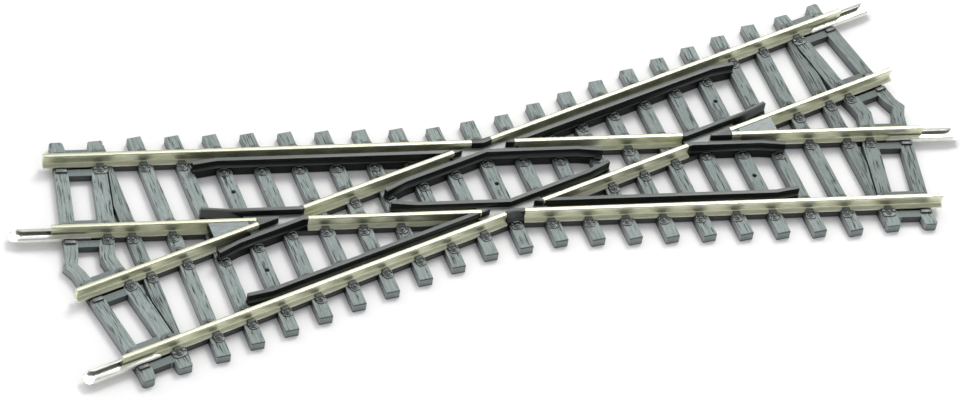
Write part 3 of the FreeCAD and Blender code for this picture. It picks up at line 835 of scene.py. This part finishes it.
def build_joiner(end, d, name, node, turn):
    outer_u = JOINER_ON_RAIL - JOINER_LEN
    inner_end, outer_end = along(end, d, JOINER_ON_RAIL), along(end, d, outer_u)
    ob = to_object(name, [sweep(joiner_section(), outer_end, inner_end,
                                cuts=np.linspace(0, JOINER_LEN, 8), inset=0.02)])
    # lips cut back diagonally at both ends
    cutters = []
    for p, s in ((outer_end, 1), (inner_end, -1)):
        for side in (1, -1):
            n = (-d[1] * side, d[0] * side)
            outside = (p[0] - d[0] * s * 0.2, p[1] - d[1] * s * 0.2)
            inside = (p[0] + d[0] * s * 1.9, p[1] + d[1] * s * 1.9)
            cutters.append(prism([outside, inside, along(outside, n, 1.25)],
                                 SEAT_Z + 0.32, SEAT_Z + 3))
    subtract_all(ob, cutters)
    boolean(ob, to_object("tongue", [joiner_tongue(end, d, outer_u)]), "UNION")
    # ease the sharp sheet edges a little
    bm = bmesh.new()
    bm.from_mesh(ob.data)
    bmesh.ops.remove_doubles(bm, verts=bm.verts, dist=0.0015 * MM)
    bmesh.ops.dissolve_limit(bm, angle_limit=math.radians(0.5), verts=bm.verts, edges=bm.edges)
    edges = [e for e in bm.edges if len(e.link_faces) == 2 and e.is_convex
             and e.calc_face_angle(0) > math.radians(50)]
    bmesh.ops.bevel(bm, geom=edges, offset=0.035 * MM, segments=2, profile=0.6, affect="EDGES",
                    clamp_overlap=True)
    bm.to_mesh(ob.data)
    bm.free()
    if turn:
        ob.data.transform(Matrix.Rotation(math.pi, 4, "Z"))
    smooth(ob, 40)
    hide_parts(node)
    return ob


# ---------------------------------------------------------------------------
# materials
# ---------------------------------------------------------------------------
class Mat:
    """A node material; lengths are in mm, colours linear (r, g, b)."""

    def __init__(self, name):
        self.m = bpy.data.materials.new(name)
        self.m.use_nodes = True
        self.tree = self.m.node_tree
        self.bsdf = next(n for n in self.tree.nodes if n.type == "BSDF_PRINCIPLED")

    def node(self, kind):
        return self.tree.nodes.new(kind)

    def feed(self, socket, value):
        """Link a socket's value in, or set a plain one."""
        if isinstance(value, (int, float)):
            socket.default_value = value
        elif isinstance(value, tuple):
            socket.default_value = (*value, 1)
        else:
            self.tree.links.new(value, socket)

    def surface(self, **values):
        for name, value in values.items():
            self.feed(self.bsdf.inputs[name.replace("_", " ")], value)

    def math(self, op, a, b, clamp=False):
        node = self.node("ShaderNodeMath")
        node.operation = op
        node.use_clamp = clamp
        self.feed(node.inputs[0], a)
        self.feed(node.inputs[1], b)
        return node.outputs[0]

    def times(self, a, b):
        return self.math("MULTIPLY", a, b)

    def absolute(self, a):
        return self.math("ABSOLUTE", a, 0.0)

    def invert(self, a):
        return self.math("SUBTRACT", 1.0, a)

    def affine(self, a, scale, offset):
        return self.math("ADD", self.times(a, scale), offset)

    def rise(self, a, start, span):
        """0 up to start, then growing to 1 over span."""
        return self.math("DIVIDE", self.math("SUBTRACT", a, start), span, clamp=True)

    def fall(self, a, start, span):
        """0 down to start, then growing to 1 over span below it."""
        return self.math("DIVIDE", self.math("SUBTRACT", start, a), span, clamp=True)

    def ramp(self, fac, stops):
        """Colour ramp through (position, colour) stops."""
        node = self.node("ShaderNodeValToRGB")
        elements = node.color_ramp.elements
        while len(elements) > 1:
            elements.remove(elements[-1])
        elements[0].position, elements[0].color = stops[0][0], (*stops[0][1], 1)
        for position, colour in stops[1:]:
            elements.new(position).color = (*colour, 1)
        self.feed(node.inputs[0], fac)
        return node.outputs[0]

    def mix(self, fac, a, b, blend="MIX"):
        node = self.node("ShaderNodeMix")
        node.data_type = "RGBA"
        node.blend_type = blend
        for i, value in ((0, fac), (6, a), (7, b)):
            self.feed(node.inputs[i], value)
        return node.outputs[2]

    def cover(self, under, over, mask, share):
        """Lay over on under where the mask is 1, to the given share."""
        return self.mix(self.times(mask, share), under, over)

    def multiply(self, a, b):
        return self.mix(1.0, a, b, "MULTIPLY")

    def coords(self, scale=(1, 1, 1), turn=0.0):
        """Object coordinates in mm, turned about z and scaled."""
        source = self.node("ShaderNodeTexCoord")
        mapping = self.node("ShaderNodeMapping")
        mapping.inputs["Rotation"].default_value = (0, 0, turn)
        mapping.inputs["Scale"].default_value = tuple(1000.0 * s for s in scale)
        self.feed(mapping.inputs["Vector"], source.outputs["Object"])
        return mapping.outputs["Vector"]

    def axes(self, kind, output):
        """The x, y and z sockets of an input node's vector."""
        source = self.node(kind)
        split = self.node("ShaderNodeSeparateXYZ")
        self.feed(split.inputs[0], source.outputs[output])
        return split.outputs["X"], split.outputs["Y"], split.outputs["Z"]

    def position(self):
        return self.axes("ShaderNodeTexCoord", "Object")

    def normal(self, kind="Normal"):
        return self.axes("ShaderNodeNewGeometry", kind)

    def noise(self, vec, scale=1.0, detail=3.0, roughness=0.5):
        node = self.node("ShaderNodeTexNoise")
        node.inputs["Scale"].default_value = scale
        node.inputs["Detail"].default_value = detail
        node.inputs["Roughness"].default_value = roughness
        self.feed(node.inputs["Vector"], vec)
        return node.outputs["Fac"]

    def bump(self, height, strength, distance, under=None):
        node = self.node("ShaderNodeBump")
        node.inputs["Strength"].default_value = strength
        node.inputs["Distance"].default_value = distance * MM
        self.feed(node.inputs["Height"], height)
        if under is not None:
            self.feed(node.inputs["Normal"], under)
        return node.outputs["Normal"]

    def ao(self, distance, samples=6):
        node = self.node("ShaderNodeAmbientOcclusion")
        node.samples = samples
        node.inputs["Distance"].default_value = distance * MM
        return node.outputs["AO"]


def sleeper_material():
    m = Mat("sleeper_plastic_grain")
    vec = m.coords()
    x, y, z = m.position()
    normal_x, _, normal_z = m.normal("True Normal")
    z_mm = m.times(z, 1000.0)

    # 0 on the plain top, 1 at the bottom of a crack
    deep = m.fall(z_mm, start=SLEEPER_TOP - 0.012, span=0.085)
    facing_up = m.math("GREATER_THAN", normal_z, 0.30)
    near_top = m.math("GREATER_THAN", z_mm, SLEEPER_TOP - 0.20)
    crack = m.times(m.times(deep, facing_up), near_top)

    # grey wood colour, streaked along y
    streak = m.noise(m.coords(scale=(5.5, 0.55, 5.5)), detail=4.0, roughness=0.62)
    broad = m.noise(vec, scale=0.22, detail=2.0)
    fine = m.noise(m.coords(scale=(16, 2.2, 16)), roughness=0.6)
    col = m.ramp(streak, [(0.30, (0.185, 0.228, 0.219)), (0.48, (0.268, 0.325, 0.311)),
                          (0.70, (0.350, 0.410, 0.392))])
    fine_share = 0.30
    col = m.mix(fine_share, col, m.ramp(fine, [(0.36, (0.12, 0.152, 0.148)),
                                               (0.62, (0.41, 0.475, 0.455))]))
    # half of the broad noise above its middle value
    pale = m.math("MULTIPLY", m.math("SUBTRACT", broad, 0.5), 0.5, clamp=True)
    col = m.mix(pale, col, (0.36, 0.40, 0.38))
    col = m.cover(col, (0.030, 0.040, 0.040), mask=crack, share=0.84)

    # the chairs stand above the sleepers and are painted darker as shade, most of all on steep
    # faces
    above = m.rise(z_mm, start=SLEEPER_TOP + 0.05, span=0.08)
    chair_shaded_col = m.ramp(fine, [(0.32, (0.040, 0.045, 0.041)), (0.68, (0.200, 0.216, 0.200))])
    col = m.cover(col, chair_shaded_col, mask=above, share=0.80)
    # painted shade: near-black on the steep faces of the chairs, standing for their dark outlines
    steep = m.invert(m.rise(normal_z, start=0.30, span=0.45))
    col = m.cover(col, (0.014, 0.016, 0.015), mask=m.times(above, steep), share=0.85)

    # painted shade: the webs and everything low down between the sleepers are painted dark
    low = m.fall(z_mm, start=SLEEPER_TOP - 0.20, span=0.08)
    col = m.cover(col, (0.016, 0.018, 0.017), mask=m.times(low, facing_up), share=0.95)

    # upright sides, and how far each spot is from the nearest rail line along y
    side = m.invert(m.math("GREATER_THAN", normal_z, 0.25))
    depth = m.fall(z_mm, start=SLEEPER_TOP + 0.1, span=1.7)
    abs_x = m.absolute(m.times(x, 1000.0))
    abs_y = m.absolute(m.times(y, 1000.0))
    slope = m.times(abs_x, TAN)
    to_outer = m.absolute(m.math("SUBTRACT", m.math("SUBTRACT", abs_y, OBTUSE_Y), slope))
    inner_line = m.absolute(m.math("SUBTRACT", OBTUSE_Y, slope))
    to_inner = m.absolute(m.math("SUBTRACT", abs_y, inner_line))
    to_rail = m.math("MINIMUM", to_outer, to_inner)
    near_rail = m.invert(m.rise(to_rail, start=1.30, span=1.3))
    facing_x = m.math("GREATER_THAN", m.absolute(normal_x), 0.75)
    long_side = m.times(side, facing_x)
    # painted light and shade on the long sides: pale where the AO finds them open, dark where
    # they are hemmed in
    openness = m.rise(m.ao(5.0), start=0.20, span=0.26)
    side_light_shade_mask = m.times(long_side, 0.80)
    col = m.mix(side_light_shade_mask, col, m.mix(openness, (0.060, 0.068, 0.070), (0.40, 0.41, 0.42)))
    # painted shade on the end faces, darker towards the bottom
    end_side = m.times(side, m.invert(facing_x))
    end_shade_mask = m.times(end_side, m.affine(depth, scale=0.25, offset=0.12))
    col = m.mix(end_shade_mask, col, (0.045, 0.055, 0.055))
    # painted shade on the upright sides close to a rail
    col = m.cover(col, (0.022, 0.024, 0.023), mask=m.times(side, near_rail), share=0.90)
    # painted shade on the side faces of the wide webs under the joiners
    beyond = m.math("GREATER_THAN", abs_x, 72.0)
    off_web_side = m.absolute(m.math("SUBTRACT", to_rail, JOINER_WEB_HALF / COS))
    at_web = m.times(beyond, m.math("LESS_THAN", off_web_side, 0.30))
    col = m.cover(col, (0.022, 0.026, 0.027), mask=m.times(end_side, at_web), share=0.85)

    # painted light falloff: between the outer rails the grey is a little paler at the left end
    # than at the right
    inside = m.math("LESS_THAN", m.math("SUBTRACT", abs_y, slope), OBTUSE_Y)
    half_span = 80.0
    from_left = m.math("DIVIDE", m.math("ADD", m.times(x, 1000.0), half_span), 2 * half_span,
                       clamp=True)
    painted_light_falloff = m.ramp(from_left, [(0.0, (1.12, 1.12, 1.12)), (0.45, (1.0, 1.0, 1.0)),
                              (1.0, (0.74, 0.76, 0.75))])
    col = m.mix(inside, col, m.multiply(col, painted_light_falloff))
    # corners gather shade
    shade = m.ramp(m.ao(0.55, samples=8), [(0.25, (0.06, 0.07, 0.07)),
                                           (0.66, (0.42, 0.44, 0.44)), (0.94, (1, 1, 1))])
    m.surface(Base_Color=m.multiply(col, shade))

    rough = m.affine(fine, scale=0.25, offset=0.42)
    chair_gloss = m.times(above, 0.20)
    m.surface(Roughness=m.math("SUBTRACT", rough, chair_gloss), Specular_IOR_Level=0.45)
    fibres = m.noise(m.coords(scale=(9, 1.1, 9)), detail=4.0, roughness=0.6)
    bumps = m.bump(fibres, strength=0.35, distance=0.05)
    specks = m.noise(vec, scale=22.0, detail=2.0)
    m.surface(Normal=m.bump(specks, strength=0.18, distance=0.02, under=bumps))
    return m.m


def rail_material(name, turn, tint):
    """Drawn metal streaked along the rail; the upward faces of the head take a darker colour of
    their own, a painted highlight colour that tones the lamp's reflection there to cream.
    """
    m = Mat(name)
    normal_z = m.normal()[2]
    z_mm = m.times(m.position()[2], 1000.0)
    head = m.math("GREATER_THAN", z_mm, RAIL_TOP - 0.35)
    top = m.times(head, m.rise(normal_z, start=0.22, span=0.42))
    streak = m.noise(m.coords(scale=(0.10, 9.0, 9.0), turn=turn), detail=4.0, roughness=0.6)
    blotch = m.noise(m.coords(scale=(0.22, 1.4, 1.4), turn=turn), roughness=0.55)
    fine = m.noise(m.coords(scale=(0.45, 30.0, 30.0), turn=turn), detail=2.0)
    dull = (tint[0] * 0.70, tint[1] * 0.70, tint[2] * 0.64)
    bright = tuple(c * 1.12 for c in tint)
    col = m.ramp(blotch, [(0.30, dull), (0.70, tint)])
    col = m.cover(col, bright, mask=streak, share=0.45)
    # painted highlight colour on the running surface, set so its reflection reads cream
    col = m.mix(top, col, (0.435, 0.438, 0.335))
    shade = m.ramp(m.ao(0.9), [(0.0, (0.40, 0.40, 0.33)), (0.50, (1, 1, 1))])
    m.surface(Base_Color=m.multiply(col, shade))
    # the foot looks less metallic than the rest
    foot = m.fall(z_mm, start=SEAT_Z + 0.80, span=0.30)
    full, foot_loss = 0.92, 0.42
    m.surface(Metallic=m.math("SUBTRACT", full, m.times(foot, foot_loss)))
    streak_rough = m.times(streak, 0.14)
    m.surface(Roughness=m.math("ADD", streak_rough, m.affine(blotch, scale=0.10, offset=0.30)))
    bumps = m.bump(fine, strength=0.22, distance=0.010)
    waves = m.noise(m.coords(scale=(0.35, 2.0, 2.0), turn=turn), detail=2.0)
    m.surface(Normal=m.bump(waves, strength=0.20, distance=0.030, under=bumps))
    return m.m


def joiner_material():
    m = Mat("joiner_sheet_metal")
    blotch = m.noise(m.coords(), scale=0.9, roughness=0.55)
    fine = m.noise(m.coords(scale=(2.0, 14.0, 14.0)), roughness=0.55)
    col = m.ramp(blotch, [(0.3, (0.80, 0.81, 0.76)), (0.7, (0.90, 0.90, 0.84))])
    shade = m.ramp(m.ao(0.8), [(0.0, (0.20, 0.20, 0.18)), (0.7, (1, 1, 1))])
    m.surface(Base_Color=m.multiply(col, shade), Metallic=0.80,
              Roughness=m.affine(fine, scale=0.14, offset=0.24),
              Normal=m.bump(fine, strength=0.15, distance=0.012))
    return m.m


def black_material():
    """Black plastic, with a painted grey sheen on faces that look up."""
    m = Mat("black_moulded_plastic")
    vec = m.coords()
    facing_up = m.rise(m.normal()[2], start=0.5, span=0.4)
    broad = m.noise(vec, scale=0.55, roughness=0.55)
    fine = m.noise(vec, scale=9.0, roughness=0.6)
    # painted reflection: faces that look up are greyed as if mirroring the lamps
    painted_up_sheen = m.times(facing_up, m.affine(fine, scale=0.5, offset=0.45))
    col = m.mix(painted_up_sheen, (0.008, 0.011, 0.011), (0.290, 0.305, 0.295))
    col = m.cover(col, (0.034, 0.036, 0.026), mask=broad, share=0.22)
    fine_rough = m.times(fine, 0.16)
    rough = m.math("ADD", fine_rough, m.affine(broad, scale=0.10, offset=0.20))
    m.surface(Base_Color=col, Roughness=rough, Specular_IOR_Level=0.12)
    bumps = m.bump(m.noise(vec, scale=26.0, detail=2.0), strength=0.14, distance=0.015)
    waves = m.noise(vec, scale=2.2, detail=2.0)
    m.surface(Normal=m.bump(waves, strength=0.15, distance=0.05, under=bumps))
    return m.m


def grey_plastic_material(name, dark, light):
    """Grey plastic with a fine ribbed grain, for the filled vee and the flangeway floors."""
    m = Mat(name)
    streak = m.noise(m.coords(scale=(0.6, 6.5, 6.5)), detail=4.0, roughness=0.6)
    col = m.ramp(streak, [(0.3, dark), (0.7, light)])
    shade = m.ramp(m.ao(1.2), [(0.0, (0.25, 0.26, 0.26)), (0.8, (1, 1, 1))])
    m.surface(Base_Color=m.multiply(col, shade), Roughness=0.42,
              Normal=m.bump(streak, strength=0.6, distance=0.06))
    return m.m


def copper_material():
    m = Mat("tinned_copper_wire")
    vec = m.coords()
    blotch = m.noise(vec, scale=1.4, roughness=0.6)
    m.surface(Base_Color=m.ramp(blotch, [(0.3, (0.55, 0.30, 0.16)), (0.6, (0.80, 0.48, 0.28)),
                                         (0.8, (0.80, 0.76, 0.70))]),
              Metallic=1.0, Roughness=m.affine(blotch, scale=0.25, offset=0.18))
    fine = m.noise(vec, scale=12.0, detail=2.0)
    m.surface(Normal=m.bump(fine, strength=0.15, distance=0.01))
    return m.m


SLEEPER_MAT = sleeper_material()
# a is a slightly darker copy of b: painted shade for the rails whose sides catch less light
RAIL_MAT_SHADED = rail_material("drawn_rail_metal_a", turn=HALF_ANGLE, tint=(0.86, 0.87, 0.68))
RAIL_MAT_LIT = rail_material("drawn_rail_metal_b", turn=-HALF_ANGLE, tint=(0.90, 0.91, 0.72))
JOINER_MAT = joiner_material()
BLACK_MAT = black_material()
VEE_TOP_MAT = grey_plastic_material("vee_filler_grey", dark=(0.17, 0.205, 0.205),
                                    light=(0.34, 0.39, 0.385))
FLANGE_FLOOR_MAT = grey_plastic_material("flangeway_floor_grey", dark=(0.38, 0.41, 0.385),
                                         light=(0.62, 0.65, 0.61))
COPPER_MAT = copper_material()


# ---------------------------------------------------------------------------
# build everything
# ---------------------------------------------------------------------------
BODY = "track_frame"


def set_material(ob, material):
    ob.data.materials.clear()
    ob.data.materials.append(material)


def add_base():
    base = build_base()
    set_material(base, SLEEPER_MAT)
    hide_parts("sleeper_base")
    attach(base, BODY)


def add_rail(kind, node, sx, sy):
    ob = build_rail(kind, node, sx, sy)
    # the shaded copy, a, is for rails that fall towards the right in plan, the lit copy, b, for
    # the others: painted shade
    falls = (sx * sy > 0) != (kind == "middle_rail")
    set_material(ob, RAIL_MAT_SHADED if falls else RAIL_MAT_LIT)
    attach(ob, BODY)


def add_rails():
    sides, depths = (("left", 1), ("right", -1)), (("far", 1), ("near", -1))
    for kind in ("outer_rail", "middle_rail"):
        for depth, sy in depths:
            for side, sx in sides:
                add_rail(kind, f"{kind}_{depth}_{side}", sx, sy)
    for side, sx in sides:
        for depth, sy in depths:
            add_rail("vee_rail", f"vee_rail_{side}_{depth}", sx, sy)


def moulding_slot(node, face):
    """Material slot of a face: 0 black, 1 vee top, 2 flangeway floor."""
    centre = face.center * 1000
    if face.normal.z > 0.5:
        if abs(centre.z - FLANGE_FLOOR) < 0.12 and not node.startswith("check"):
            return 2
        if (node.startswith("vee") and abs(centre.x) > 47.0
                and centre.z > 3.85 and centre.z < RAIL_TOP - 0.02):
            return 1
    return 0


def add_mouldings():
    made = {}
    for node in sorted(NODES):
        if not node.startswith(("check_rail", "obtuse_crossing", "vee_crossing")):
            continue
        name = node + "_moulding"
        if node == "obtuse_crossing_near" and "obtuse_crossing_far" in made:
            ob = mirrored_moulding(made["obtuse_crossing_far"], name)
        else:
            ob = soften(node, name)
        made[node] = ob
        ob.data.update()
        smooth(ob, 40)
        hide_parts(node)
        for material in (BLACK_MAT, VEE_TOP_MAT, FLANGE_FLOOR_MAT):
            ob.data.materials.append(material)
        for face in ob.data.polygons:
            face.material_index = moulding_slot(node, face)
        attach(ob, BODY)


def add_joiners():
    near_end = (OUTER_END[0], -OUTER_END[1])
    for side, turn in (("left", False), ("right", True)):
        for place_name, end, d in (("inner", VEE_END, FALLING), ("outer", near_end, RISING)):
            node = f"rail_joiner_{side}_{place_name}"
            ob = build_joiner(end, d, node + "_sheet", node, turn)
            set_material(ob, JOINER_MAT)
            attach(ob, node)


add_base()
add_rails()
add_mouldings()
add_joiners()
for node, ob in NODES.items():
    if node.startswith("jumper_wire"):
        set_material(ob, COPPER_MAT)

# ---------------------------------------------------------------------------
# stage, in metres: pale floor, soft studio light
# ---------------------------------------------------------------------------
scene = bpy.context.scene
scene.view_settings.view_transform = "Standard"
scene.view_settings.look = "None"
scene.view_settings.exposure = 0.0
scene.view_settings.gamma = 1.0


def floor_material():
    """Pale floor with painted light: it glows a little to lift its shadows, less so close to the
    track, which paints shade there.
    """
    m = Mat("floor_pale")
    m.surface(Base_Color=(0.62, 0.64, 0.60), Emission_Color=(0.965, 0.915, 1.0),
              Roughness=0.9, Specular_IOR_Level=0.1)
    openness = m.ao(9.0, samples=8)
    glow = m.node("ShaderNodeMapRange")
    for name, value in (("From Min", 0.25), ("From Max", 0.94), ("To Min", 0.10),
                        ("To Max", 0.43), ("Value", openness)):
        m.feed(glow.inputs[name], value)
    m.surface(Emission_Strength=glow.outputs["Result"])
    return m.m


def add_floor():
    half, z = 8.0, -0.00002
    me = bpy.data.meshes.new("floor")
    me.from_pydata([(-half, -half, z), (half, -half, z), (half, half, z), (-half, half, z)],
                   [], [(0, 1, 2, 3)])
    floor = add_object("floor", me)
    me.materials.append(floor_material())


def area_light(name, location, size, power):
    """Square area light aimed at the origin."""
    light = bpy.data.lights.new(name, "AREA")
    light.energy = power
    light.size = size
    light.color = (1, 1, 1)
    ob = add_object(name, light)
    ob.location = location
    ob.rotation_mode = "QUATERNION"
    ob.rotation_quaternion = Vector(location).to_track_quat("Z", "Y")


add_floor()
# key: high, from behind and to the right, so that shadows fall to the left and forward
area_light("key", location=(0.46, 0.46, 0.92), size=0.42, power=8.6)
# broad panel behind and above, mirrored in the rail tops
area_light("back_panel", location=(-0.55, 1.15, 1.25), size=1.5, power=11.0)
area_light("front_fill", location=(0.65, -1.35, 0.75), size=1.2, power=5.0)

world = bpy.data.worlds.new("studio")
scene.world = world
world.use_nodes = True
background = next(n for n in world.node_tree.nodes if n.type == "BACKGROUND")
background.inputs["Color"].default_value = (0.97, 0.985, 1.0, 1)
background.inputs["Strength"].default_value = 0.24

# ---------------------------------------------------------------------------
# camera: angles in degrees, distances in mm
# ---------------------------------------------------------------------------
CAM_AZIMUTH, CAM_ELEVATION, CAM_ROLL = -27.6389, 47.2806, 10.1658
CAM_DISTANCE = 858.717
CAM_TARGET = (-2.9094, -1.9504, RAIL_TOP - 5.14)
SENSOR_W, FOCAL_LEN = 36.0, 171.325785


def add_camera():
    azimuth, elevation = math.radians(CAM_AZIMUTH), math.radians(CAM_ELEVATION)
    roll = math.radians(CAM_ROLL)
    back = Vector((math.sin(azimuth) * math.cos(elevation),
                   -math.cos(azimuth) * math.cos(elevation), math.sin(elevation)))
    level_right = (-back).cross(Vector((0, 0, 1))).normalized()
    level_up = level_right.cross(-back)
    right = level_right * math.cos(roll) + level_up * math.sin(roll)
    up = -level_right * math.sin(roll) + level_up * math.cos(roll)
    lens = bpy.data.cameras.new("camera")
    lens.sensor_width = SENSOR_W
    lens.lens = FOCAL_LEN
    lens.clip_start, lens.clip_end = 0.05, 30.0
    camera = add_object("camera", lens)
    location = (Vector(CAM_TARGET) + back * CAM_DISTANCE) * MM
    pose = Matrix.Identity(4)
    for i in range(3):
        pose[i] = (right[i], up[i], back[i], location[i])
    camera.matrix_world = pose
    scene.camera = camera


add_camera()
